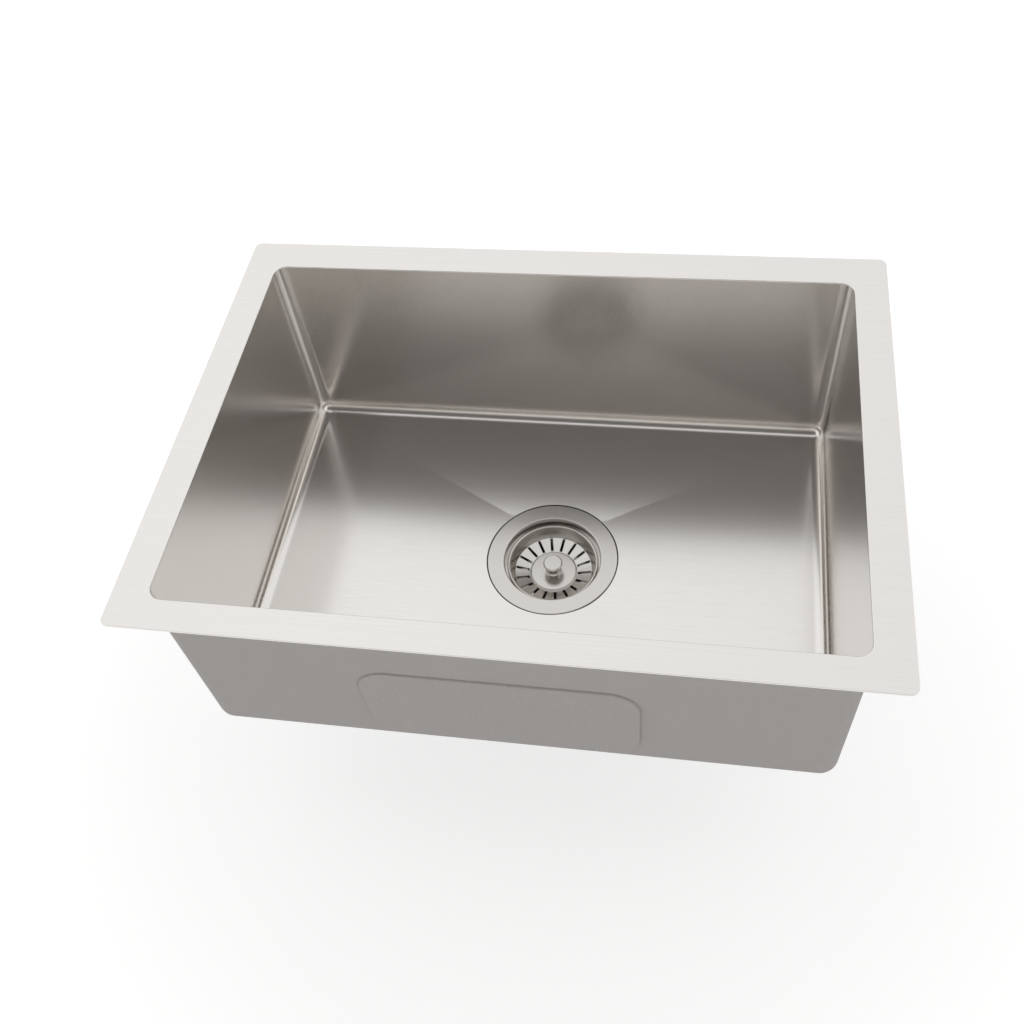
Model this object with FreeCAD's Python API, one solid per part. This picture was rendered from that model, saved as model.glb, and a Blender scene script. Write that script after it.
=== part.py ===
import FreeCAD, Part
import math
import os

# Kitchen sink bowl with a basket strainer, in millimetres.
# The origin is the centre of the rim on its top face. X runs along the rim, Y to the back and Z up.

# Shared values
overrun = 5.0
thread_clearance = 0.2
slide_clearance = 0.3

# Rim and bowl
rim_length = 533.0
rim_width = 388.5
rim_corner_radius = 6.0
sheet = 1.2
side_flange = 26.0
front_flange = 24.0
back_flange = 29.5
rim_edge_round = 0.8
bowl_radius = 10.5
bowl_depth = 181.0
floor_fall = 4.0
floor_margin = 1.5
floor_square_share = 0.75
drain_x = 7.5
drain_y = 6.6

# Sound coat and pads
coat_thickness = 3.0
coat_drain_gap = 2.5
pad_thickness = 2.5
pad_corner_radius = 21.0
pad_cover_round = 1.6
wall_pad_top_gap = 76.0
wall_pad_foot_gap = 17.0
long_pad_shift = -5.0
long_pad_length = 200.0
short_pad_length = 140.0
floor_pad_end_gap = 50.0
floor_pad_drain_gap = 85.0
floor_pad_side_gap = 72.5

# Strainer body
flange_radius = 57.15
flange_thickness = 1.6
flange_edge_round = 0.7
throat_radius = 42.2
throat_round = 1.2
throat_depth = 9.3
cup_radius = 38.4
cup_depth = 29.5
cup_wall = 1.2
sleeve_wall = 1.4
sleeve_depth = 20.0
outlet_radius = 19.5
spigot_wall = 4.3
spigot_length = 23.3
spider_drop = 8.5
spider_thickness = 3.0
spider_bar_width = 3.0
spider_bar_count = 3
spider_ring_bore = 6.8
spider_ring_wall = 2.2

# Rings and nuts under the floor
drain_hole_clearance = 1.0
recess_clearance = 0.5
recess_depth = 2.4
flange_gasket_thickness = 1.0
flange_gasket_inset = 1.0
under_gasket_thickness = 3.0
under_gasket_width = 12.0
friction_ring_thickness = 1.0
friction_ring_width = 10.5
ring_clearance = 0.4
lock_nut_height = 9.0
lock_nut_width = 6.5
lock_nut_lug_count = 6
lock_nut_lug_width = 12.0
lock_nut_lug_reach = 4.5

# Tailpiece and its nut
tailpiece_radius = 19.05
tailpiece_wall = 0.8
tailpiece_length = 74.0
tailpiece_lip_width = 3.9
tailpiece_lip_thickness = 1.5
tailpiece_neck_length = 6.0
tailpiece_neck_swell = 0.8
tailpiece_washer_thickness = 2.0
coupling_wall = 4.0
coupling_grip = 10.0
coupling_floor = 2.5
coupling_rib_count = 12
coupling_rib_radius = 2.2

# Basket
basket_sheet = 0.8
basket_rim_tube = 1.3
basket_rim_inset = 3.2
basket_foot_radius = 34.4
basket_foot_drop = 10.5
basket_trough_radius = 21.0
basket_trough_drop = 3.5
disc_radius = 19.4
disc_rise = 1.4
slot_count = 18
slot_width = 2.5
slot_end_gap = 0.8

# Knob
knob_height = 13.0
knob_head_radius = 8.5
knob_head_thickness = 3.4
knob_edge = 1.1
knob_neck_radius = 6.0
knob_foot_radius = 7.2
knob_foot_thickness = 1.6
knob_bore_depth = 6.5

# Post, stopper and clip
post_radius = 2.5
post_collar_radius = 6.0
post_collar_height = 2.8
stopper_plate_radius = 21.0
stopper_plate_thickness = 1.0
seal_radius = 24.0
seal_lip = 1.2
seal_washer_radius = 14.0
seal_washer_thickness = 1.2
post_nut_flats = 9.0
post_nut_height = 3.5
clip_neck_radius = 3.6
clip_bulge_radius = 6.2
clip_end_radius = 3.4
clip_length = 10.5
clip_slot_width = 1.0
clip_slot_count = 4
clip_bulge_share = 0.72
clip_slot_share = 0.9
post_tip = 0.5

# Levels and radii that follow from the values above
bowl_left = -rim_length / 2 + side_flange
bowl_right = rim_length / 2 - side_flange
bowl_front = -rim_width / 2 + front_flange
bowl_back = rim_width / 2 - back_flange
bowl_middle_x = (bowl_left + bowl_right) / 2
bowl_middle_y = (bowl_front + bowl_back) / 2
wall_pad_height = bowl_depth - wall_pad_top_gap - wall_pad_foot_gap
recess_radius = flange_radius + recess_clearance
seat_z = -bowl_depth - floor_fall - recess_depth
flange_z = seat_z + flange_gasket_thickness + flange_thickness
sleeve_radius = throat_radius + sleeve_wall
drain_hole_radius = sleeve_radius + drain_hole_clearance
spigot_radius = outlet_radius + spigot_wall
cup_floor_z = flange_z - cup_depth
spigot_end_z = cup_floor_z - spigot_length
ledge_z = flange_z - throat_depth
floor_under_z = seat_z - sheet
friction_top_z = floor_under_z - under_gasket_thickness
lock_nut_top_z = friction_top_z - friction_ring_thickness
tailpiece_top_z = spigot_end_z - tailpiece_washer_thickness
basket_rim_radius = throat_radius - basket_rim_inset
basket_rim_z = ledge_z + slide_clearance + basket_rim_tube
basket_foot_z = basket_rim_z - basket_foot_drop
basket_trough_z = basket_foot_z - basket_trough_drop
disc_z = basket_trough_z + disc_rise
disc_under_z = disc_z - basket_sheet
plate_top_z = disc_under_z - post_collar_height
seal_top_z = plate_top_z - stopper_plate_thickness
seal_under_z = cup_floor_z + slide_clearance
nut_top_z = seal_under_z - seal_washer_thickness
clip_top_z = nut_top_z - post_nut_height
post_end_z = clip_top_z - clip_length - post_tip
drain_axis = FreeCAD.Vector(drain_x, drain_y, 0)
up = FreeCAD.Vector(0, 0, 1)


def edges_where(shape, test):
    """Edges whose two ends both pass a test."""
    return [edge for edge in shape.Edges if all(test(vertex.Point) for vertex in edge.Vertexes)]


def block(x_low, x_high, y_low, y_high, z_low, z_high):
    corner = FreeCAD.Vector(x_low, y_low, z_low)
    return Part.makeBox(x_high - x_low, y_high - y_low, z_high - z_low, corner)


def upright_edges(shape):
    """The edges of a block that run along Z."""
    found = []
    for edge in shape.Edges:
        ends = edge.Vertexes
        if ends[0].Point.x == ends[1].Point.x and ends[0].Point.y == ends[1].Point.y:
            found.append(edge)
    return found


def floor_edges(shape):
    """The edges of a block in its lowest plane."""
    lowest = shape.BoundBox.ZMin
    return edges_where(shape, lambda point: abs(point.z - lowest) < Part.Precision.confusion())


def tub(offset, top_z):
    """The solid that fills the bowl, grown on all sides by an offset, with its four sloping floor faces."""
    bottom_z = -bowl_depth - offset
    body = block(bowl_left - offset, bowl_right + offset, bowl_front - offset, bowl_back + offset, bottom_z, top_z)
    body = body.makeFillet(bowl_radius + offset, upright_edges(body) + floor_edges(body))
    return body.fuse(floor_slopes(offset))


def floor_slopes(offset):
    """Four planes that fall from the foot of the walls to a square inside the drain recess."""
    inset = bowl_radius + floor_margin
    half = recess_radius * floor_square_share
    high = rectangle(bowl_left + inset, bowl_right - inset, bowl_front + inset, bowl_back - inset, -bowl_depth - offset)
    low = rectangle(drain_x - half, drain_x + half, drain_y - half, drain_y + half, -bowl_depth - floor_fall - offset)
    return Part.makeLoft([high, low], True, True)


def rectangle(x_low, x_high, y_low, y_high, z):
    corners = [(x_low, y_low), (x_high, y_low), (x_high, y_high), (x_low, y_high), (x_low, y_low)]
    return Part.makePolygon([FreeCAD.Vector(x, y, z) for x, y in corners])


def drum(radius, low_z, high_z):
    """A cylinder on the drain axis."""
    return Part.makeCylinder(radius, high_z - low_z, FreeCAD.Vector(drain_x, drain_y, low_z), up)


def ring(bore, radius, low_z, high_z):
    return drum(radius, low_z, high_z).cut(drum(bore, low_z - overrun, high_z + overrun))


def turned(outline):
    """A closed outline of radius and height turned about the drain axis."""
    points = [FreeCAD.Vector(drain_x + radius, drain_y, z) for radius, z in outline]
    face = Part.Face(Part.makePolygon(points + points[:1]))
    return face.revolve(drain_axis, up, 360)


def about_drain(shape, count):
    """Copies of a shape, spaced evenly about the drain axis."""
    copies = []
    for index in range(count):
        copy = shape.copy()
        copy.rotate(drain_axis, up, 360 * index / count)
        copies.append(copy)
    return copies


def circle_edges(shape, radius, z):
    """Round edges of one radius at one height."""
    near = Part.Precision.confusion() * overrun
    found = []
    for edge in shape.Edges:
        if isinstance(edge.Curve, Part.Circle) and abs(edge.Curve.Radius - radius) < near:
            if abs(edge.Curve.Center.z - z) < near:
                found.append(edge)
    return found


def make_bowl_skin():
    """The outside of the bowl as a solid, with the boss of the drain recess."""
    boss = drum(recess_radius + sheet, floor_under_z, -bowl_depth)
    return tub(sheet, -sheet).fuse(boss).removeSplitter()


def make_bowl():
    rim = block(-rim_length / 2, rim_length / 2, -rim_width / 2, rim_width / 2, -sheet, 0)
    rim = rim.makeFillet(rim_corner_radius, upright_edges(rim))
    inside = tub(0, overrun).fuse(drum(recess_radius, seat_z, -bowl_depth))
    solid = rim.fuse(make_bowl_skin()).cut(inside)
    solid = solid.cut(drum(drain_hole_radius, floor_under_z - overrun, seat_z + overrun)).removeSplitter()
    lip = edges_where(solid, lambda point: point.z == 0 and bowl_left <= point.x <= bowl_right
                      and bowl_front <= point.y <= bowl_back)
    return solid.makeFillet(rim_edge_round, lip)


def slab(length, height, thickness, grow):
    """A flat pad with round corners, lying on its back, with its middle at the origin."""
    half_length = length / 2 + grow
    half_height = height / 2 + grow
    shape = block(-half_length, half_length, -half_height, half_height, -overrun, thickness + grow)
    return shape.makeFillet(pad_corner_radius + grow, upright_edges(shape))


def wall_places():
    """Length, turn about Z and foot of each wall pad."""
    z = -wall_pad_top_gap - wall_pad_height / 2
    return {
        "pad_front": (long_pad_length, 0, FreeCAD.Vector(bowl_middle_x + long_pad_shift, bowl_front - sheet, z)),
        "pad_right": (short_pad_length, 90, FreeCAD.Vector(bowl_right + sheet, bowl_middle_y, z)),
        "pad_back": (long_pad_length, 180, FreeCAD.Vector(bowl_middle_x + long_pad_shift, bowl_back + sheet, z)),
        "pad_left": (short_pad_length, 270, FreeCAD.Vector(bowl_left - sheet, bowl_middle_y, z)),
    }


def wall_slab(name, grow):
    """A wall pad stood up against its wall, reaching a little into the bowl."""
    length, turn, foot = wall_places()[name]
    shape = slab(length, wall_pad_height, pad_thickness, grow)
    if grow:
        face_z = shape.BoundBox.ZMax
        top = edges_where(shape, lambda point: abs(point.z - face_z) < Part.Precision.confusion())
        shape = shape.makeFillet(pad_cover_round, top)
    shape.rotate(FreeCAD.Vector(), FreeCAD.Vector(1, 0, 0), 90)
    shape.rotate(FreeCAD.Vector(), up, turn)
    shape.translate(foot)
    return shape


def floor_slab(side, grow):
    """A floor pad on one side of the drain, following the slope of the floor."""
    low_z = floor_under_z - overrun - pad_thickness
    if side < 0:
        x_low, x_high = bowl_left + floor_pad_end_gap, drain_x - floor_pad_drain_gap
    else:
        x_low, x_high = drain_x + floor_pad_drain_gap, bowl_right - floor_pad_end_gap
    shape = block(x_low - grow, x_high + grow, bowl_front + floor_pad_side_gap - grow,
                  bowl_back - floor_pad_side_gap + grow, low_z, -bowl_depth + overrun)
    shape = shape.makeFillet(pad_corner_radius + grow, upright_edges(shape))
    return shape.common(tub(sheet + pad_thickness + grow, -sheet))


def make_pads(skin):
    pads = {name: wall_slab(name, 0).cut(skin) for name in wall_places()}
    pads["pad_floor_left"] = floor_slab(-1, 0).cut(skin)
    pads["pad_floor_right"] = floor_slab(1, 0).cut(skin)
    return pads


def make_sound_coat(skin, pads):
    coat = tub(sheet + coat_thickness, -sheet)
    covers = [wall_slab(name, coat_thickness) for name in wall_places()]
    covers += [floor_slab(side, coat_thickness) for side in (-1, 1)]
    coat = coat.multiFuse(covers).cut(skin)
    coat = coat.cut(list(pads.values()))
    return coat.cut(drum(recess_radius + sheet + coat_drain_gap, floor_under_z - overrun, -bowl_depth)).removeSplitter()


def make_strainer_body():
    cup_outer = cup_radius + cup_wall
    outline = [
        (throat_radius, flange_z),
        (flange_radius, flange_z),
        (flange_radius, flange_z - flange_thickness),
        (sleeve_radius, flange_z - flange_thickness),
        (sleeve_radius, flange_z - sleeve_depth),
        (cup_outer, flange_z - sleeve_depth),
        (cup_outer, cup_floor_z - cup_wall),
        (spigot_radius, cup_floor_z - cup_wall),
        (spigot_radius, spigot_end_z),
        (outlet_radius, spigot_end_z),
        (outlet_radius, cup_floor_z),
        (cup_radius, cup_floor_z),
        (cup_radius, ledge_z),
        (throat_radius, ledge_z),
    ]
    body = turned(outline)
    body = body.makeFillet(throat_round, circle_edges(body, throat_radius, flange_z))
    body = body.makeFillet(flange_edge_round, circle_edges(body, flange_radius, flange_z))
    return body.multiFuse(make_spider()).removeSplitter()


def make_spider():
    """The ring of the cross bars and the bars that run into the spigot wall."""
    high_z = cup_floor_z - spider_drop
    low_z = high_z - spider_thickness
    ring_radius = spider_ring_bore + spider_ring_wall
    bar = block(drain_x + spider_ring_bore + spider_ring_wall / 2, drain_x + outlet_radius + spigot_wall / 2,
                drain_y - spider_bar_width / 2, drain_y + spider_bar_width / 2, low_z, high_z)
    return [ring(spider_ring_bore, ring_radius, low_z, high_z)] + about_drain(bar, spider_bar_count)


def make_flange_gasket():
    return ring(drain_hole_radius, flange_radius - flange_gasket_inset, seat_z, seat_z + flange_gasket_thickness)


def make_under_gasket():
    bore = sleeve_radius + ring_clearance
    return ring(bore, bore + under_gasket_width, friction_top_z, floor_under_z)


def make_friction_ring():
    bore = sleeve_radius + ring_clearance
    return ring(bore, bore + friction_ring_width, lock_nut_top_z, friction_top_z)


def make_lock_nut():
    low_z = lock_nut_top_z - lock_nut_height
    bore = sleeve_radius + thread_clearance
    radius = bore + lock_nut_width
    lug = block(drain_x + bore + lock_nut_width / 2, drain_x + radius + lock_nut_lug_reach,
                drain_y - lock_nut_lug_width / 2, drain_y + lock_nut_lug_width / 2, low_z, lock_nut_top_z)
    return ring(bore, radius, low_z, lock_nut_top_z).multiFuse(about_drain(lug, lock_nut_lug_count)).removeSplitter()


def make_tailpiece_washer():
    return ring(outlet_radius, spigot_radius, tailpiece_top_z, spigot_end_z)


def make_tailpiece():
    bore = tailpiece_radius - tailpiece_wall
    lip_radius = tailpiece_radius + tailpiece_lip_width
    tube = drum(tailpiece_radius, tailpiece_top_z - tailpiece_length, tailpiece_top_z)
    lip = drum(lip_radius, tailpiece_top_z - tailpiece_lip_thickness, tailpiece_top_z)
    neck = drum(tailpiece_radius + tailpiece_neck_swell, tailpiece_top_z - tailpiece_neck_length, tailpiece_top_z)
    hole = drum(bore, tailpiece_top_z - tailpiece_length - overrun, tailpiece_top_z + overrun)
    return tube.fuse(neck).fuse(lip).cut(hole).removeSplitter()


def make_coupling_nut():
    bore = spigot_radius + thread_clearance
    radius = bore + coupling_wall
    lip_under_z = tailpiece_top_z - tailpiece_lip_thickness
    low_z = lip_under_z - coupling_floor
    high_z = spigot_end_z + coupling_grip
    rib = Part.makeCylinder(coupling_rib_radius, high_z - low_z, FreeCAD.Vector(drain_x + radius, drain_y, low_z), up)
    nut = drum(radius, low_z, high_z).multiFuse(about_drain(rib, coupling_rib_count))
    nut = nut.cut(drum(bore, lip_under_z, high_z + overrun))
    neck_hole = tailpiece_radius + tailpiece_neck_swell + thread_clearance
    return nut.cut(drum(neck_hole, low_z - overrun, high_z)).removeSplitter()


def make_basket():
    hole = post_radius + slide_clearance
    outline = [
        (cup_radius - basket_sheet, basket_rim_z),
        (basket_foot_radius - basket_sheet / 2, basket_foot_z),
        (basket_trough_radius, basket_trough_z),
        (disc_radius, disc_z),
        (hole, disc_z),
        (hole, disc_under_z),
        (disc_radius, disc_under_z),
        (basket_trough_radius, basket_trough_z - basket_sheet),
        (basket_foot_radius + basket_sheet / 2, basket_foot_z - basket_sheet / 2),
        (cup_radius, basket_rim_z),
    ]
    rim = Part.makeTorus(basket_rim_radius, basket_rim_tube, FreeCAD.Vector(drain_x, drain_y, basket_rim_z), up)
    slot = block(drain_x + basket_trough_radius + slot_end_gap, drain_x + basket_foot_radius - slot_end_gap,
                 drain_y - slot_width / 2, drain_y + slot_width / 2,
                 basket_trough_z - overrun, basket_foot_z + overrun)
    return turned(outline).fuse(rim).cut(about_drain(slot, slot_count)).removeSplitter()


def make_lift_knob():
    top_z = disc_z + knob_height
    outline = [
        (0, top_z),
        (knob_head_radius - knob_edge, top_z),
        (knob_head_radius, top_z - knob_edge),
        (knob_head_radius, top_z - knob_head_thickness + knob_edge),
        (knob_head_radius - knob_edge, top_z - knob_head_thickness),
        (knob_neck_radius, top_z - knob_head_thickness - knob_edge),
        (knob_neck_radius, disc_z + knob_foot_thickness + knob_edge),
        (knob_foot_radius, disc_z + knob_foot_thickness),
        (knob_foot_radius, disc_z),
        (0, disc_z),
    ]
    return turned(outline).cut(drum(post_radius, disc_z - overrun, disc_z + knob_bore_depth))


def make_centre_post():
    rod = drum(post_radius, post_end_z, disc_z + knob_bore_depth)
    return rod.fuse(drum(post_collar_radius, plate_top_z, disc_under_z)).removeSplitter()


def make_stopper_plate():
    return ring(post_radius, stopper_plate_radius, seal_top_z, plate_top_z)


def make_stopper_seal():
    outline = [
        (post_radius, seal_top_z),
        (seal_radius - seal_lip, seal_top_z),
        (seal_radius, seal_top_z - seal_lip),
        (seal_radius, seal_under_z),
        (post_radius, seal_under_z),
    ]
    return turned(outline)


def make_seal_washer():
    return ring(post_radius, seal_washer_radius, nut_top_z, seal_under_z)


def make_post_nut():
    corner = post_nut_flats / math.sqrt(3)
    hexagon = Part.makePolygon([
        FreeCAD.Vector(drain_x + corner * math.cos(math.radians(60 * side)),
                       drain_y + corner * math.sin(math.radians(60 * side)), clip_top_z)
        for side in range(7)
    ])
    nut = Part.Face(hexagon).extrude(up * post_nut_height)
    return nut.cut(drum(post_radius, clip_top_z - overrun, nut_top_z + overrun))


def make_spring_clip():
    """A sleeve that swells below the ring of the cross bars and is split so that it can spring."""
    low_z = clip_top_z - clip_length
    outline = [
        (post_radius, clip_top_z),
        (clip_neck_radius, clip_top_z),
        (clip_bulge_radius, clip_top_z - clip_length * clip_bulge_share),
        (clip_end_radius, low_z),
        (post_radius, low_z),
    ]
    slot_top_z = low_z + clip_length * clip_slot_share
    slot = block(drain_x, drain_x + clip_bulge_radius + overrun, drain_y - clip_slot_width / 2,
                 drain_y + clip_slot_width / 2, low_z - overrun, slot_top_z)
    return turned(outline).cut(about_drain(slot, clip_slot_count))


def main():
    os.makedirs("parts", exist_ok=True)
    skin = make_bowl_skin()
    pads = make_pads(skin)
    nodes = dict(pads)
    nodes["bowl"] = make_bowl()
    nodes["sound_coat"] = make_sound_coat(skin, pads)
    nodes["strainer_body"] = make_strainer_body()
    nodes["flange_gasket"] = make_flange_gasket()
    nodes["under_gasket"] = make_under_gasket()
    nodes["friction_ring"] = make_friction_ring()
    nodes["lock_nut"] = make_lock_nut()
    nodes["tailpiece_washer"] = make_tailpiece_washer()
    nodes["tailpiece"] = make_tailpiece()
    nodes["coupling_nut"] = make_coupling_nut()
    nodes["basket"] = make_basket()
    nodes["lift_knob"] = make_lift_knob()
    nodes["centre_post"] = make_centre_post()
    nodes["stopper_plate"] = make_stopper_plate()
    nodes["stopper_seal"] = make_stopper_seal()
    nodes["seal_washer"] = make_seal_washer()
    nodes["post_nut"] = make_post_nut()
    nodes["spring_clip"] = make_spring_clip()
    for name, shape in nodes.items():
        shape.exportStep("parts/" + name + ".step")


main()
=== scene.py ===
import math

import bpy
import numpy as np
from bpy.props import FloatProperty, FloatVectorProperty, PointerProperty
from mathutils import Matrix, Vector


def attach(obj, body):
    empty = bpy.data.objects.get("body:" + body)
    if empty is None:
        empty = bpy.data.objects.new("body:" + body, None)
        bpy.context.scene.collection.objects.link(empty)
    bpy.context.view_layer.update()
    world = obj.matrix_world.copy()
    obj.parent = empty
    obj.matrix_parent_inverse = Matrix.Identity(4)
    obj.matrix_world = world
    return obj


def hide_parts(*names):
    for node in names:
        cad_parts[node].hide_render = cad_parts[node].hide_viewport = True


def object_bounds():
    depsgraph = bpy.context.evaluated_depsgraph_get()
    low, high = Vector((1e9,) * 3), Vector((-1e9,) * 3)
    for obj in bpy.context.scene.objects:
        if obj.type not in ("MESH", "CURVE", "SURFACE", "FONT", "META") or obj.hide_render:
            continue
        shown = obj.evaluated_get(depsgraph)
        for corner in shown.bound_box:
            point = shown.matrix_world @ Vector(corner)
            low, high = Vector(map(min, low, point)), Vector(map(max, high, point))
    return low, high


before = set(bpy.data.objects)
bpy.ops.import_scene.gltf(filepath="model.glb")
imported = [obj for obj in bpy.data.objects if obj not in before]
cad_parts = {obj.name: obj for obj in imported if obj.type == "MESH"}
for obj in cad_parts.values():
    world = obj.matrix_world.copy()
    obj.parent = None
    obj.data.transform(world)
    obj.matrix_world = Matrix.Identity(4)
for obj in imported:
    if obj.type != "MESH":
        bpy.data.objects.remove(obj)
cad_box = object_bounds()

bl_info = {
    "name": "Sink bowl with basket strainer",
    "version": (1, 0, 0),
    "blender": (4, 5, 0),
    "location": "View3D > Sidebar > Sink",
    "description": "Dresses a kitchen sink bowl and its strainer with brushed steel, a sprayed coat and studio light",
    "category": "Object",
}


# Properties


def length(name, description, default):
    """A length property in metres."""
    return FloatProperty(name=name, description=description, default=default, min=0.0, unit="LENGTH", precision=5)


def colour(name, description, default):
    """A colour property."""
    return FloatVectorProperty(
        name=name, description=description, default=default, size=3, min=0.0, max=1.0, subtype="COLOR"
    )


def part_of(name, description, default):
    """A plain number between nothing and one."""
    return FloatProperty(name=name, description=description, default=default, min=0.0, max=1.0, subtype="FACTOR")


class SinkSizes(bpy.types.PropertyGroup):
    """Sizes of the pressed bowl, the same as those of the solids."""

    rim_length: length("Rim length", "Outside length of the rim along X", 0.533)
    rim_width: length("Rim width", "Outside width of the rim along Y", 0.3885)
    rim_radius: length("Rim corner radius", "Radius of the rim's outer corners", 0.006)
    sheet: length("Sheet", "Thickness of the steel", 0.0012)
    side_flange: length("Side flange", "Width of the rim at the two ends", 0.026)
    front_flange: length("Front flange", "Width of the rim at the front", 0.024)
    back_flange: length("Back flange", "Width of the rim at the back", 0.0295)
    lip: length("Lip round", "Radius of the rim's inner edge", 0.0008)
    edge: length("Edge round", "Radius that breaks the rim's outer edge", 0.0003)
    bowl_radius: length("Bowl radius", "Inside radius of the bowl's corners and foot", 0.0105)
    depth: length("Depth", "Depth of the bowl at its walls", 0.181)
    fall: length("Fall", "How far the floor falls to the drain", 0.004)
    margin: length("Floor margin", "Level strip between the foot of the walls and the slopes", 0.0015)
    drain_x: length("Drain X", "Place of the drain along X", 0.0075)
    drain_y: length("Drain Y", "Place of the drain along Y", 0.0066)
    recess: length("Recess radius", "Radius of the drain recess", 0.05765)
    recess_depth: length("Recess depth", "Depth of the drain recess below the slopes", 0.0024)
    square: part_of("Floor square", "Half side of the level square round the drain, as a share of the recess", 0.75)
    hole: length("Drain hole radius", "Radius of the drain hole", 0.0446)


class SinkColours(bpy.types.PropertyGroup):
    """Colours and finishes of the materials."""

    steel_pale: colour("Steel, pale", "Brushed steel between the brush lines", (0.79, 0.77, 0.747))
    steel_dark: colour("Steel, dark", "Brushed steel in the brush lines", (0.745, 0.725, 0.702))
    satin_pale: colour("Satin, pale", "Turned steel of the strainer", (0.67, 0.65, 0.625))
    satin_dark: colour("Satin, dark", "Turning marks of the strainer", (0.58, 0.56, 0.535))
    coat_pale: colour("Coat, pale", "Sprayed coat on its high spots", (0.485, 0.468, 0.462))
    coat_dark: colour("Coat, dark", "Sprayed coat in its pits", (0.395, 0.38, 0.375))
    rubber: colour("Rubber", "Gaskets, seal and pads", (0.022, 0.022, 0.023))
    rubber_dust: colour("Rubber bloom", "Pale bloom on the rubber", (0.05, 0.05, 0.05))
    brass_pale: colour("Brass, pale", "Cast nut on its high spots", (0.72, 0.55, 0.27))
    brass_dark: colour("Brass, dark", "Cast nut in its pits", (0.50, 0.36, 0.16))
    chrome_pale: colour("Chrome, pale", "Plated tube and nut", (0.82, 0.82, 0.83))
    chrome_dark: colour("Chrome, dark", "Plating with a film of water marks", (0.77, 0.77, 0.78))
    fibre_pale: colour("Fibre, pale", "Fibre ring", (0.42, 0.30, 0.19))
    fibre_dark: colour("Fibre, dark", "Flecks in the fibre ring", (0.25, 0.17, 0.10))
    plastic_pale: colour("Plastic, pale", "Tailpiece washer", (0.80, 0.80, 0.78))
    plastic_dark: colour("Plastic, dark", "Marks on the tailpiece washer", (0.68, 0.68, 0.66))
    card: colour("Card", "Grey card behind the camera", (0.28, 0.265, 0.25))
    floor: colour("Floor", "Plain pale floor", (0.4, 0.4, 0.4))


# Meshes


# Points in each round corner and along each side of a ring
ARC_STEPS, RUN_STEPS = 8, 100
# Rings over an edge, over the inside and the outside of the foot, and down the slopes of the floor
EDGE_STEPS, FOOT_STEPS, OUTSIDE_STEPS, SLOPE_STEPS = 7, 13, 9, 25
# Parts of the way at which rings lie on the rim, the walls, the floor round the drain, the underside and the recess
RIM_PARTS = (0.02, 0.25, 0.5, 0.75, 0.98)
WALL_PARTS = (0.006, 0.2, 0.4, 0.6, 0.8, 0.994)
DRAIN_PARTS = (*np.linspace(0.08, 0.96, 12), 0.99, 0.997, 1.0)
UNDER_PARTS = (0.3, 0.6, 0.9)
RECESS_PARTS = np.linspace(0.1, 1.0, EDGE_STEPS)
# Share of the slopes at which the rings start to pass over from rectangles to circles
LAST_SHARE = 0.8
# Half the angle, in radians, that the points of one corner take up on a circle round the drain
CORNER_TURN = 0.002


def rounded_loop(x_low, x_high, y_low, y_high, radius):
    """Points round a rectangle with round corners, as rows of X and Y.

    Each corner is a quarter circle about a centre set in by the radius, and each side is an even row of points
    from the end of one quarter to the start of the next."""
    centres = np.array([
        [x_high - radius, y_high - radius], [x_low + radius, y_high - radius],
        [x_low + radius, y_low + radius], [x_high - radius, y_low + radius],
    ])
    turn = np.linspace(0.0, np.pi / 2, ARC_STEPS + 1)[None, :] + np.arange(4)[:, None] * np.pi / 2
    arcs = centres[:, None, :] + radius * np.stack([np.cos(turn), np.sin(turn)], axis=-1)
    start, stop = arcs[:, -1, :], np.roll(arcs[:, 0, :], -1, axis=0)
    along = np.linspace(0.0, 1.0, RUN_STEPS + 1)[None, 1:-1, None]
    runs = start[:, None, :] + (stop - start)[:, None, :] * along
    return np.concatenate([arcs, runs], axis=1).reshape(-1, 2)


def ring_of(loop, z):
    """A loop of X and Y lifted to a height, which is one number or one for each point."""
    return np.column_stack([loop, np.broadcast_to(z, len(loop))])


def closed_grid(name, rings):
    """A closed mesh from rings of equally many points, the last ring joined to the first."""
    points = np.asarray(rings)
    count, size = points.shape[:2]
    row, column = np.meshgrid(np.arange(count), np.arange(size), indexing="ij")
    row_next, column_next = (row + 1) % count, (column + 1) % size
    faces = np.stack([
        row * size + column, row * size + column_next,
        row_next * size + column_next, row_next * size + column,
    ], axis=-1).reshape(-1, 4)
    flat = points.reshape(-1, 3)
    a, b, c, d = (flat[faces[:, corner]] for corner in range(4))
    volume = np.einsum("ij,ij->i", a, np.cross(b, c)).sum() + np.einsum("ij,ij->i", a, np.cross(c, d)).sum()
    if volume < 0:
        faces = faces[:, ::-1]
    mesh = bpy.data.meshes.new(name)
    mesh.from_pydata(flat.tolist(), [], faces.tolist())
    mesh.polygons.foreach_set("use_smooth", np.ones(len(faces), dtype=bool))
    mesh.update()
    piece = bpy.data.objects.new(name, mesh)
    bpy.context.scene.collection.objects.link(piece)
    return piece


def between(outer, inner, parts):
    """Loops at parts of the way from one loop to another."""
    return [outer + (inner - outer) * part for part in parts]


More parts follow.
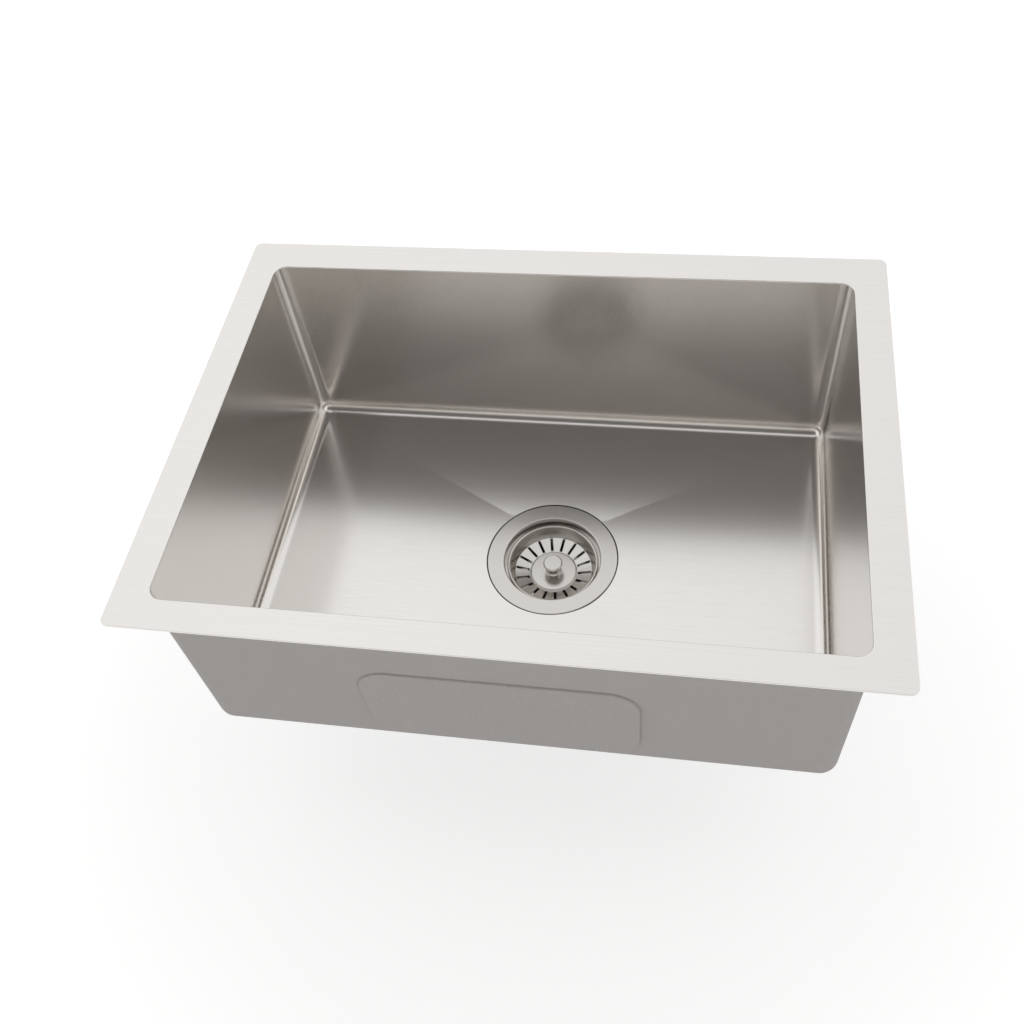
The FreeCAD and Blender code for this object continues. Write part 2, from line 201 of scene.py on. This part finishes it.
def bowl_rings(s):
    """Rings that run over the rim, down the walls, across the floor into the drain hole and back underneath.

    A ring is a rectangle with round corners, set in or out from the bowl's opening. The foot of the wall and the
    lip follow quarter circles. On the floor the rings are rectangles that shrink in equal shares towards the square
    in the middle, and the last ones pass over to the circle of the drain recess. A point's height is the wall's foot
    less the fall, times the smallest of its four shares of the way from a side of the floor to the square."""
    left, right = -s.rim_length / 2 + s.side_flange, s.rim_length / 2 - s.side_flange
    front, back = -s.rim_width / 2 + s.front_flange, s.rim_width / 2 - s.back_flange
    drain = np.array([s.drain_x, s.drain_y])
    inset = s.bowl_radius + s.margin
    lower, upper = np.array([left, front]) + inset, np.array([right, back]) - inset
    half = s.recess * s.square
    seat = -s.depth - s.fall - s.recess_depth
    wall_foot = -s.depth + s.bowl_radius
    least = s.edge / 2

    def rim(step):
        x, y = s.rim_length / 2 - step, s.rim_width / 2 - step
        return rounded_loop(-x, x, -y, y, s.rim_radius - step)

    def opening(grow):
        return rounded_loop(left - grow, right + grow, front - grow, back + grow, max(s.bowl_radius + grow, least))

    def slope(share):
        x_low, y_low = lower + (drain - half - lower) * share
        x_high, y_high = upper + (drain + half - upper) * share
        return rounded_loop(x_low, x_high, y_low, y_high, least)

    def floor(loop):
        shares = np.hstack([(loop - lower) / (drain - half - lower), (upper - loop) / (upper - drain - half)])
        return -s.depth - s.fall * np.clip(shares.min(axis=1), 0.0, 1.0)

    corner = np.linspace(-CORNER_TURN, CORNER_TURN, ARC_STEPS + 1)
    side = np.linspace(0.0, np.pi / 2, RUN_STEPS + 1)[1:-1]
    turn = (np.pi / 4 + np.arange(4)[:, None] * np.pi / 2 + np.concatenate([corner, side])).ravel()
    ray = np.column_stack([np.cos(turn), np.sin(turn)])

    def round_drain(radius):
        return drain + radius * ray

    rings = []
    # Outer edge of the rim
    for angle in np.linspace(-np.pi / 2, np.pi / 2, EDGE_STEPS):
        z = -s.edge + s.edge * np.sin(angle) if angle > 0 else -s.sheet + s.edge + s.edge * np.sin(angle)
        rings.append(ring_of(rim(s.edge * (1 - np.cos(angle))), z))
    # Top of the rim
    for loop in between(rim(s.edge), opening(s.lip), RIM_PARTS):
        rings.append(ring_of(loop, 0.0))
    # Lip
    for angle in np.linspace(0.0, np.pi / 2, EDGE_STEPS):
        rings.append(ring_of(opening(s.lip * (1 - np.sin(angle))), -s.lip * (1 - np.cos(angle))))
    # Walls
    for part in WALL_PARTS:
        rings.append(ring_of(opening(0.0), -s.lip + (wall_foot + s.lip) * part))
    # Foot of the walls
    for angle in np.linspace(0.0, np.pi / 2, FOOT_STEPS):
        grow = -(s.bowl_radius - least) * (1 - np.cos(angle))
        rings.append(ring_of(opening(grow), wall_foot - s.bowl_radius * np.sin(angle)))
    # Floor
    slopes = [slope(share) for share in np.linspace(0.0, LAST_SHARE, SLOPE_STEPS)]
    for loop in slopes + between(slopes[-1], round_drain(s.recess + s.edge), DRAIN_PARTS):
        rings.append(ring_of(loop, floor(loop)))
    # Drain recess and hole
    for part in RECESS_PARTS:
        loop = round_drain(s.recess + s.edge * (1 - part))
        wave = (1 - np.cos(np.pi * part)) / 2
        rings.append(ring_of(loop, floor(loop) + (seat - floor(loop)) * wave))
    rings.append(ring_of(round_drain(s.hole + s.edge), seat))
    rings.append(ring_of(round_drain(s.hole), seat - s.edge))
    # Underside of the drain recess and the floor
    under_recess = round_drain(s.recess + s.sheet)
    rings.append(ring_of(round_drain(s.hole), seat - s.sheet))
    rings.append(ring_of(under_recess, seat - s.sheet))
    rings.append(ring_of(under_recess, floor(under_recess) - s.sheet))
    for loop in between(under_recess, opening(least - s.bowl_radius), UNDER_PARTS):
        rings.append(ring_of(loop, floor(loop) - s.sheet))
    # Outside of the foot and the walls
    radius = s.bowl_radius + s.sheet
    for angle in np.linspace(np.pi / 2, 0.0, OUTSIDE_STEPS):
        grow = s.sheet - (radius - least) * (1 - np.cos(angle))
        rings.append(ring_of(opening(grow), wall_foot - radius * np.sin(angle)))
    rings.append(ring_of(opening(s.sheet), -s.sheet))
    return rings


# Materials


# Part of the noise's range that the masks spread over nothing to one
NOISE_RANGE = (0.3, 0.7)
# Scale of the brush noise along its lines and across them
BRUSH_ALONG, BRUSH_ACROSS = 5.0, 1900.0
# Brush lines turn upright while the size of a face's normal along X grows from the first value to the second
END_WALL = (0.55, 0.8)
# Roughness of the sheet in the brush lines and between them, and the strength and height of the lines
BRUSH_ROUGH = (0.215, 0.19)
BRUSH_BUMP = (0.007, 0.00005)
UNIT = (0.0, 1.0)
# Places of the two inputs and the result among the sockets of a Mix node, by its data type
MIX_SOCKETS = {"FLOAT": (2, 3, 0), "VECTOR": (4, 5, 1), "RGBA": (6, 7, 2)}


def new_tree(name):
    """A material with a principled shader, as the material, its nodes and links, and the shader."""
    material = bpy.data.materials.new(name)
    material.use_nodes = True
    nodes, links = material.node_tree.nodes, material.node_tree.links
    return material, nodes, links, nodes["Principled BSDF"]


def new_group(name, inputs, output):
    """A node group with number inputs and their defaults and one number output, as the group and its two ends."""
    group = bpy.data.node_groups.new(name, "ShaderNodeTree")
    for label, default in inputs.items():
        socket = group.interface.new_socket(label, in_out="INPUT", socket_type="NodeSocketFloat")
        socket.default_value = default
    group.interface.new_socket(output, in_out="OUTPUT", socket_type="NodeSocketFloat")
    return group, group.nodes.new("NodeGroupInput"), group.nodes.new("NodeGroupOutput")


def calculate(nodes, links, operation, *values):
    """The result of a Math node for one or two sockets."""
    node = nodes.new("ShaderNodeMath")
    node.operation = operation
    for value, socket in zip(values, node.inputs):
        links.new(value, socket)
    return node.outputs[0]


def ramp(nodes, links, value, source, target):
    """A value carried over from one range to another."""
    node = nodes.new("ShaderNodeMapRange")
    node.inputs["From Min"].default_value, node.inputs["From Max"].default_value = source
    node.inputs["To Min"].default_value, node.inputs["To Max"].default_value = target
    links.new(value, node.inputs["Value"])
    return node.outputs["Result"]


def blend(nodes, links, kind, factor, first, second):
    """A number, vector or colour between two, by a factor. Each of the two is a socket or a fixed value."""
    node = nodes.new("ShaderNodeMix")
    node.data_type = kind
    first_place, second_place, result = MIX_SOCKETS[kind]
    links.new(factor, node.inputs["Factor"])
    for place, item in ((first_place, first), (second_place, second)):
        if isinstance(item, bpy.types.NodeSocket):
            links.new(item, node.inputs[place])
        else:
            node.inputs[place].default_value = item
    return node.outputs[result]


def add_bump(nodes, links, shader, value, strength, distance):
    """Lets a value raise the shader's surface."""
    node = nodes.new("ShaderNodeBump")
    node.inputs["Strength"].default_value = strength
    node.inputs["Distance"].default_value = distance
    links.new(value, node.inputs["Height"])
    links.new(node.outputs["Normal"], shader.inputs["Normal"])


def streak_group():
    """Long fine lines: noise in object space, stretched along the line and squeezed across it."""
    group, entry, leave = new_group("streaks", {"Scale X": 1.0, "Scale Y": 1.0, "Scale Z": 1.0}, "Lines")
    nodes, links = group.nodes, group.links
    place = nodes.new("ShaderNodeTexCoord")
    scale = nodes.new("ShaderNodeCombineXYZ")
    stretch = nodes.new("ShaderNodeVectorMath")
    stretch.operation = "MULTIPLY"
    noise = nodes.new("ShaderNodeTexNoise")
    noise.inputs["Scale"].default_value = 1.0
    noise.inputs["Detail"].default_value = 4.0
    noise.inputs["Roughness"].default_value = 0.7
    for axis in "XYZ":
        links.new(entry.outputs["Scale " + axis], scale.inputs[axis])
    links.new(place.outputs["Object"], stretch.inputs[0])
    links.new(scale.outputs[0], stretch.inputs[1])
    links.new(stretch.outputs[0], noise.inputs["Vector"])
    links.new(noise.outputs["Fac"], leave.inputs["Lines"])
    return group


def speckle_group():
    """Even grain: noise in object space."""
    group, entry, leave = new_group("speckle", {"Scale": 400.0}, "Mask")
    nodes, links = group.nodes, group.links
    place = nodes.new("ShaderNodeTexCoord")
    noise = nodes.new("ShaderNodeTexNoise")
    noise.inputs["Detail"].default_value = 3.0
    links.new(entry.outputs["Scale"], noise.inputs["Scale"])
    links.new(place.outputs["Object"], noise.inputs["Vector"])
    links.new(noise.outputs["Fac"], leave.inputs["Mask"])
    return group


def turning_group():
    """Turning marks: noise along one line, read at the distance from the drain axis plus the height."""
    group, entry, leave = new_group("turning", {"Scale": 2000.0, "Axis X": 0.0, "Axis Y": 0.0}, "Mask")
    nodes, links = group.nodes, group.links
    place, split = nodes.new("ShaderNodeTexCoord"), nodes.new("ShaderNodeSeparateXYZ")
    links.new(place.outputs["Object"], split.inputs[0])
    flat = nodes.new("ShaderNodeCombineXYZ")
    for axis in "XY":
        step = calculate(nodes, links, "SUBTRACT", split.outputs[axis], entry.outputs["Axis " + axis])
        links.new(step, flat.inputs[axis])
    reach = nodes.new("ShaderNodeVectorMath")
    reach.operation = "LENGTH"
    links.new(flat.outputs[0], reach.inputs[0])
    noise = nodes.new("ShaderNodeTexNoise")
    noise.noise_dimensions = "1D"
    noise.inputs["Detail"].default_value = 3.0
    links.new(entry.outputs["Scale"], noise.inputs["Scale"])
    links.new(calculate(nodes, links, "ADD", reach.outputs["Value"], split.outputs["Z"]), noise.inputs["W"])
    links.new(noise.outputs["Fac"], leave.inputs["Mask"])
    return group


def shared_group(name):
    """One of the node groups, made when it is first asked for."""
    makers = {"streaks": streak_group, "speckle": speckle_group, "turning": turning_group}
    return bpy.data.node_groups.get(name) or makers[name]()


def add_group(nodes, name, **values):
    """A node that holds a shared group, with values for its inputs. An underscore stands for a space."""
    node = nodes.new("ShaderNodeGroup")
    node.node_tree = shared_group(name)
    for label, value in values.items():
        node.inputs[label.replace("_", " ")].default_value = value
    return node.outputs[0]


def colour_and_roughness(nodes, links, shader, value, dark, pale, rough):
    """Lets a value between nothing and one set the shader's colour and roughness."""
    colours = (*dark, 1.0), (*pale, 1.0)
    links.new(blend(nodes, links, "RGBA", value, *colours), shader.inputs["Base Color"])
    links.new(ramp(nodes, links, value, UNIT, rough), shader.inputs["Roughness"])


def brushed_material(name, dark, pale):
    """Sheet steel with brush lines along X, and upright ones on the end walls."""
    material, nodes, links, shader = new_tree(name)
    along = add_group(nodes, "streaks", Scale_X=BRUSH_ALONG, Scale_Y=BRUSH_ACROSS, Scale_Z=BRUSH_ACROSS)
    upright = add_group(nodes, "streaks", Scale_X=BRUSH_ACROSS, Scale_Y=BRUSH_ACROSS, Scale_Z=BRUSH_ALONG)
    place, split = nodes.new("ShaderNodeTexCoord"), nodes.new("ShaderNodeSeparateXYZ")
    links.new(place.outputs["Normal"], split.inputs[0])
    size = calculate(nodes, links, "ABSOLUTE", split.outputs["X"])
    end_wall = ramp(nodes, links, size, END_WALL, UNIT)
    lines = blend(nodes, links, "FLOAT", end_wall, along, upright)
    value = ramp(nodes, links, lines, NOISE_RANGE, UNIT)
    colour_and_roughness(nodes, links, shader, value, dark, pale, BRUSH_ROUGH)
    shader.inputs["Metallic"].default_value = 1.0
    shader.inputs["Anisotropic"].default_value = 0.6
    across = blend(nodes, links, "VECTOR", end_wall, (0.0, 1.0, 1.0), (0.0, 1.0, 0.0))
    links.new(across, shader.inputs["Tangent"])
    add_bump(nodes, links, shader, value, *BRUSH_BUMP)
    return material


def grained_material(name, dark, pale, rough, metallic, bump, group="speckle", **values):
    """A surface whose colour, roughness and height follow one mask: even grain, or turning marks about an axis."""
    material, nodes, links, shader = new_tree(name)
    value = ramp(nodes, links, add_group(nodes, group, **values), NOISE_RANGE, UNIT)
    colour_and_roughness(nodes, links, shader, value, dark, pale, rough)
    shader.inputs["Metallic"].default_value = metallic
    add_bump(nodes, links, shader, value, *bump)
    return material


def dress(names, material):
    """Gives CAD nodes one material in place of their own."""
    for name in names:
        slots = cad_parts[name].data.materials
        slots.clear()
        slots.append(material)


# Stage


WHITE = (1.0, 1.0, 1.0, 1.0)
DULL = 0.9
# Half side of the floor, and the distances and strengths between which it is lifted to white
FLOOR_HALF = 6.0
LIFT_REACH, LIFT_STRENGTH = (0.5, 1.3), (0.68, 1.0)
# Half sides of the card, its distance, and its tilt towards the front from straight above
CARD_HALF, CARD_REACH, CARD_TILT = (2.5, 1.5), 2.4, math.radians(40.0)
# Width of a lamp, its distance, the angle that its light spreads over, and the height that it aims at
LAMP_SIZE, LAMP_REACH, LAMP_SPREAD, LAMP_AIM = 2.6, 1.8, math.radians(60.0), -0.1
WARM, PLAIN = (1.0, 0.95, 0.895), (1.0, 1.0, 1.0)
# Each soft lamp has its bearing and height in degrees, seen from the bowl, its power in watts and its tone.
# Bearing 0 is at the front, 90 at the right and 180 at the back.
LAMPS = (
    (0.0, 14.0, 1.6, WARM),
    (40.0, 14.0, 1.5, WARM),
    (320.0, 14.0, 1.8, WARM),
    (215.0, 52.0, 0.15, PLAIN),
)


def flat_sheet(scene, name, x, y, z, shade):
    """A level rectangle with half sides X and Y at a height, in a dull colour, with its nodes, links and shader."""
    mesh = bpy.data.meshes.new(name)
    mesh.from_pydata([(-x, -y, z), (x, -y, z), (x, y, z), (-x, y, z)], [], [(0, 1, 2, 3)])
    piece = bpy.data.objects.new(name, mesh)
    scene.collection.objects.link(piece)
    material, nodes, links, shader = new_tree(name)
    shader.inputs["Base Color"].default_value = (*shade, 1.0)
    shader.inputs["Roughness"].default_value = DULL
    mesh.materials.append(material)
    return piece, nodes, links, shader


def seen_rays(nodes, links):
    """One for rays from the camera, from a reflection or through a clear piece, and nothing for the others."""
    path = nodes.new("ShaderNodeLightPath")
    value = path.outputs["Is Camera Ray"]
    for kind in ("Is Glossy Ray", "Is Transmission Ray"):
        value = calculate(nodes, links, "MAXIMUM", value, path.outputs[kind])
    return value


def make_floor(scene):
    """A flat square below the part, lifted to white away from the part where it is seen, and clear from below."""
    shade = scene.sink_colours.floor
    piece, nodes, links, shader = flat_sheet(scene, "floor", FLOOR_HALF, FLOOR_HALF, cad_box[0].z, shade)
    shader.inputs["Emission Color"].default_value = WHITE
    place, reach = nodes.new("ShaderNodeTexCoord"), nodes.new("ShaderNodeVectorMath")
    reach.operation = "LENGTH"
    links.new(place.outputs["Object"], reach.inputs[0])
    lift = ramp(nodes, links, reach.outputs["Value"], LIFT_REACH, LIFT_STRENGTH)
    strength = calculate(nodes, links, "MULTIPLY", lift, seen_rays(nodes, links))
    links.new(strength, shader.inputs["Emission Strength"])
    face, clear, mix = (nodes.new("ShaderNode" + kind) for kind in ("NewGeometry", "BsdfTransparent", "MixShader"))
    links.new(face.outputs["Backfacing"], mix.inputs["Fac"])
    links.new(shader.outputs[0], mix.inputs[1])
    links.new(clear.outputs[0], mix.inputs[2])
    links.new(mix.outputs[0], nodes["Material Output"].inputs["Surface"])


def make_world(scene):
    """Even white surroundings, for the camera, for reflections and as a light."""
    world = bpy.data.worlds.new("studio")
    scene.world = world
    world.use_nodes = True
    sky = world.node_tree.nodes["Background"]
    sky.inputs["Color"].default_value = WHITE
    sky.inputs["Strength"].default_value = 1.0


def make_card(scene):
    """A grey card behind the camera, which the walls of the bowl reflect and the camera doesn't see."""
    piece = flat_sheet(scene, "card", *CARD_HALF, 0.0, scene.sink_colours.card)[0]
    piece.visible_camera = False
    facing_down = Matrix.Rotation(math.pi, 4, "X")
    raised = Matrix.Translation((0.0, 0.0, CARD_REACH))
    piece.matrix_world = Matrix.Rotation(CARD_TILT, 4, "X") @ raised @ facing_down


def make_lamp(scene, bearing, height, power, tone):
    """A round light that faces the bowl from a bearing and a height, bright in the middle and fading to its edge."""
    data = bpy.data.lights.new("soft_lamp", "AREA")
    data.shape = "DISK"
    data.size = LAMP_SIZE
    data.spread = LAMP_SPREAD
    data.energy = power
    data.color = tone
    lamp = bpy.data.objects.new("soft_lamp", data)
    lamp.visible_camera = False
    turn = Matrix.Rotation(math.radians(bearing), 4, "Z") @ Matrix.Rotation(math.radians(90.0 - height), 4, "X")
    aim, raised = Matrix.Translation((0.0, 0.0, LAMP_AIM)), Matrix.Translation((0.0, 0.0, LAMP_REACH))
    lamp.matrix_world = aim @ turn @ raised
    scene.collection.objects.link(lamp)


def make_camera(scene):
    """The camera at the photograph's place. The columns are its right, up and back directions and its place."""
    data = bpy.data.cameras.new("camera")
    data.sensor_width = 36.0
    data.lens = 38.27
    data.clip_start = 0.01
    camera = bpy.data.objects.new("camera", data)
    camera.matrix_world = Matrix((
        (0.98560, -0.06379, 0.15663, 0.1199),
        (0.14328, 0.80697, -0.57296, -0.5140),
        (-0.08985, 0.58714, 0.80448, 0.6118),
        (0.0, 0.0, 0.0, 1.0),
    ))
    scene.collection.objects.link(camera)
    scene.camera = camera


# Operators


class SINK_OT_bowl(bpy.types.Operator):
    """Makes the pressed steel bowl with its rim"""

    bl_idname = "sink.bowl"
    bl_label = "Bowl"

    def execute(self, context):
        colours = context.scene.sink_colours
        piece = closed_grid("pressed_bowl", bowl_rings(context.scene.sink_sizes))
        piece.data.materials.append(brushed_material("brushed_sheet", colours.steel_dark, colours.steel_pale))
        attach(piece, "sink")
        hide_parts("bowl")
        return {"FINISHED"}


class SINK_OT_coat(bpy.types.Operator):
    """Dresses the sprayed coat and the pads under it"""

    bl_idname = "sink.coat"
    bl_label = "Sound coat"

    def execute(self, context):
        c = context.scene.sink_colours
        dress(["sound_coat"], grained_material(
            "sprayed_coat", c.coat_dark, c.coat_pale, rough=(0.78, 0.9), metallic=0.0, bump=(0.3, 0.0002), Scale=1100.0
        ))
        pads = [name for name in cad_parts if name.startswith("pad_")]
        dress(pads, grained_material(
            "pad_rubber", c.rubber, c.rubber_dust, rough=(0.7, 0.85), metallic=0.0, bump=(0.2, 0.0002), Scale=600.0
        ))
        return {"FINISHED"}


class SINK_OT_strainer(bpy.types.Operator):
    """Dresses the strainer body, the basket and its stem"""

    bl_idname = "sink.strainer"
    bl_label = "Strainer"

    def execute(self, context):
        c, sizes = context.scene.sink_colours, context.scene.sink_sizes
        satin = grained_material(
            "satin_steel", c.satin_dark, c.satin_pale, rough=(0.27, 0.21), metallic=1.0, bump=(0.02, 0.00004),
            group="turning", Scale=2200.0, Axis_X=sizes.drain_x, Axis_Y=sizes.drain_y
        )
        dress(["strainer_body", "basket", "lift_knob"], satin)
        dress(["centre_post", "stopper_plate", "seal_washer", "post_nut", "spring_clip"], satin)
        return {"FINISHED"}


class SINK_OT_fittings(bpy.types.Operator):
    """Dresses the rings, nuts and tube under the floor"""

    bl_idname = "sink.fittings"
    bl_label = "Fittings"

    def execute(self, context):
        c = context.scene.sink_colours
        dress(["flange_gasket", "under_gasket", "stopper_seal"], grained_material(
            "ring_rubber", c.rubber, c.rubber_dust, rough=(0.55, 0.75), metallic=0.0, bump=(0.1, 0.0001), Scale=800.0
        ))
        dress(["friction_ring"], grained_material(
            "fibre", c.fibre_dark, c.fibre_pale, rough=(0.8, 0.9), metallic=0.0, bump=(0.3, 0.0002), Scale=1200.0
        ))
        dress(["lock_nut"], grained_material(
            "cast_brass", c.brass_dark, c.brass_pale, rough=(0.45, 0.3), metallic=1.0, bump=(0.15, 0.0002), Scale=500.0
        ))
        dress(["tailpiece", "coupling_nut"], grained_material(
            "plated", c.chrome_dark, c.chrome_pale, rough=(0.16, 0.1), metallic=1.0, bump=(0.01, 0.00004), Scale=700.0
        ))
        dress(["tailpiece_washer"], grained_material(
            "washer_plastic", c.plastic_dark, c.plastic_pale, rough=(0.5, 0.4), metallic=0.0, bump=(0.05, 0.0001),
            Scale=300.0
        ))
        return {"FINISHED"}


class SINK_OT_stage(bpy.types.Operator):
    """Makes the floor, the white surroundings, the grey card, the soft lamps and the camera"""

    bl_idname = "sink.stage"
    bl_label = "Stage"

    def execute(self, context):
        scene = context.scene
        make_floor(scene)
        make_world(scene)
        make_card(scene)
        for lamp in LAMPS:
            make_lamp(scene, *lamp)
        make_camera(scene)
        scene.view_settings.view_transform = "Standard"
        return {"FINISHED"}


# Panel and registration


class SINK_PT_panel(bpy.types.Panel):
    """Sizes, colours and steps of the sink"""

    bl_idname = "SINK_PT_panel"
    bl_label = "Sink"
    bl_space_type = "VIEW_3D"
    bl_region_type = "UI"
    bl_category = "Sink"

    def draw(self, context):
        for step in STEPS:
            self.layout.operator(step.bl_idname)
        for group in (context.scene.sink_sizes, context.scene.sink_colours):
            box = self.layout.box()
            for name in group.__annotations__:
                box.prop(group, name)


STEPS = (SINK_OT_bowl, SINK_OT_coat, SINK_OT_strainer, SINK_OT_fittings, SINK_OT_stage)
CLASSES = (SinkSizes, SinkColours, *STEPS, SINK_PT_panel)


def register():
    """Adds the classes and the scene's properties."""
    for item in CLASSES:
        bpy.utils.register_class(item)
    bpy.types.Scene.sink_sizes = PointerProperty(type=SinkSizes)
    bpy.types.Scene.sink_colours = PointerProperty(type=SinkColours)


def unregister():
    """Takes them away again."""
    del bpy.types.Scene.sink_colours
    del bpy.types.Scene.sink_sizes
    for item in reversed(CLASSES):
        bpy.utils.unregister_class(item)


def main():
    """Registers the add-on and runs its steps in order."""
    register()
    bpy.ops.sink.bowl()
    bpy.ops.sink.coat()
    bpy.ops.sink.strainer()
    bpy.ops.sink.fittings()
    bpy.ops.sink.stage()


if __name__ == "__main__":
    main()
